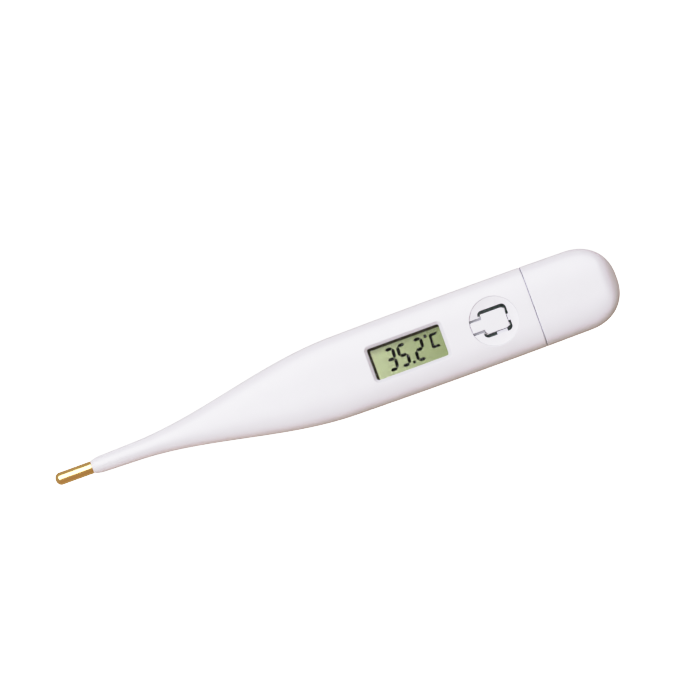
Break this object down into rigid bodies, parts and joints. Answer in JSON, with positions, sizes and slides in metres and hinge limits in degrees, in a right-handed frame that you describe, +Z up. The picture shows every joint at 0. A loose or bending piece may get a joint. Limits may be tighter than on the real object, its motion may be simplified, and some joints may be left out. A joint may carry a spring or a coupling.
{
  "type": "digital thermometer",
  "caption": "Pen-shaped clinical thermometer with a metal probe tip, recessed liquid-crystal window, press tongue in a round dish and pull-off battery cap.",
  "frame": {"origin": "under the middle of the object, on the plane its flat underside rests on", "axes": "+X from the probe's end to the tail along the body, +Y across (away from a reader of the display), +Z up out of the display"},
  "size_m": [0.125, 0.0178, 0.0104],
  "materials": {
    "abs_white": "satin",
    "abs_cap": "satin",
    "abs_button": "satin",
    "silicone": "matt",
    "gold_metal": "polished",
    "epoxy": "gloss",
    "adhesive": "gloss",
    "bead_glass": "gloss",
    "wire_red": "gloss",
    "solder": "satin",
    "clear_lens": "polished",
    "mask_ink": "satin",
    "polariser": "satin",
    "lcd_glass": "polished",
    "lcd_seal": "satin",
    "lcd_dark": "matt",
    "lcd_reflector": "satin",
    "zebra": "matt",
    "abs_carrier": "matt",
    "board": "satin",
    "black_epoxy": "gloss",
    "resistor_black": "satin",
    "tinned": "satin",
    "switch_black": "matt",
    "spring_steel": "satin",
    "brass_disc": "satin",
    "piezo": "matt",
    "nickel": "satin",
    "cell_gasket": "matt",
    "cell_mix": "matt"
  },
  "bodies": {
    "thermometer": {"housing": "abs_white", "cap_seal": "silicone", "probe_tip": "gold_metal", "tip_adhesive": "adhesive", "tip_filler": "epoxy", "thermistor": "bead_glass", "thermistor_leads": "wire_red", "lead_solder": "solder", "display_lens": "clear_lens", "lens_mask": "mask_ink", "front_polariser": "polariser", "lcd_front_glass": "lcd_glass", "lcd_edge_seal": "lcd_seal", "lcd_segments": "lcd_dark", "lcd_rear_glass": "lcd_glass", "lcd_reflector": "lcd_reflector", "zebra_strip": "zebra", "carrier_frame": "abs_carrier", "circuit_board": "board", "chip_blob": "black_epoxy", "chip_resistors": "resistor_black", "chip_terminals": "tinned", "switch_base": "switch_black", "switch_legs": "tinned", "switch_dome": "spring_steel", "switch_cover": "spring_steel", "buzzer_plate": "brass_disc", "buzzer_ceramic": "piezo", "buzzer_adhesive": "adhesive", "buzzer_wires": "wire_red", "positive_contact": "nickel", "negative_contact": "nickel"},
    "button": {"power_button": "abs_button"},
    "plunger": {"switch_plunger": "switch_black"},
    "cap": {"battery_cap": "abs_cap"},
    "cell": {"cell_can": "nickel", "cell_gasket": "cell_gasket", "cell_cap": "nickel", "cell_core": "cell_mix"}
  },
  "joints": [
    {"name": "button_press", "type": "hinge", "parent": "thermometer", "child": "button", "pos_m": [0.03043, 0, 0.00948], "axis": [0, 1, 0], "range_deg": [0, 4]},
    {"name": "plunger_travel", "type": "slide", "parent": "thermometer", "child": "plunger", "axis": [0, 0, -1], "range_m": [0, 0.0004], "deforming": ["switch_dome"]},
    {"name": "cap_pull", "type": "slide", "parent": "thermometer", "child": "cap", "axis": [1, 0, 0], "range_m": [0, 0.03]},
    {"name": "cell_slide", "type": "slide", "parent": "thermometer", "child": "cell", "axis": [1, 0, 0], "range_m": [0, 0.018]}
  ],
  "couplings": [
    {"joint": "plunger_travel", "follows": "button_press", "m_per_rad": 0.0055},
    {"joint": "cell_slide", "follows": "cap_pull", "ratio": 0.6}
  ]
}
